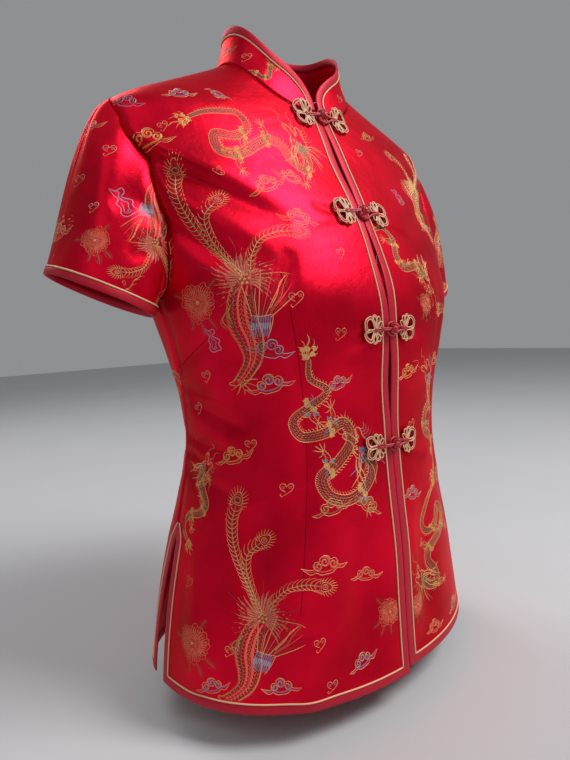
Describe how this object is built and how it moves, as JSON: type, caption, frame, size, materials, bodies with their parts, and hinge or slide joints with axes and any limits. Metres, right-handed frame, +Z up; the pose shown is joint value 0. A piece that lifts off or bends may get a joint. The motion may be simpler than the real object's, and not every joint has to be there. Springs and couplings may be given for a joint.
{
  "type": "mandarin collar blouse",
  "caption": "Fitted short-sleeved satin brocade blouse with a standing collar, side slits, bound and piped edges and frog closures down the centre front.",
  "frame": {"origin": "in the centre plane inside the neck opening, level with the points where the shoulder seams meet the collar, where the wearer's neck and shoulders hold the blouse", "axes": "+Z up, -Y towards the front of the blouse, +X towards the wearer's left"},
  "size_m": [0.5442, 0.2744, 0.6765],
  "materials": {
    "satin": "crimson satin brocade",
    "binding": "coral red satin bias binding",
    "piping": "pale gold satin piping",
    "cord": "dark red satin cord"
  },
  "bodies": {
    "root": {"front_right": "satin", "front_left": "satin", "back": "satin", "sleeve_right": "satin", "sleeve_left": "satin", "collar": "satin", "binding_front_right": "binding", "binding_front_left": "binding", "binding_back": "binding", "binding_sleeve_right": "binding", "binding_sleeve_left": "binding", "binding_collar": "binding", "piping_front_right": "piping", "piping_front_left": "piping", "piping_back": "piping", "piping_sleeve_right": "piping", "piping_sleeve_left": "piping", "piping_collar": "piping", "frog_1_flower_right": "piping", "frog_1_flower_left": "piping", "frog_1_knot": "cord", "frog_1_loop": "cord", "frog_2_flower_right": "piping", "frog_2_flower_left": "piping", "frog_2_knot": "cord", "frog_2_loop": "cord", "frog_3_flower_right": "piping", "frog_3_flower_left": "piping", "frog_3_knot": "cord", "frog_3_loop": "cord", "frog_4_flower_right": "piping", "frog_4_flower_left": "piping", "frog_4_knot": "cord", "frog_4_loop": "cord"}
  },
  "joints": []
}
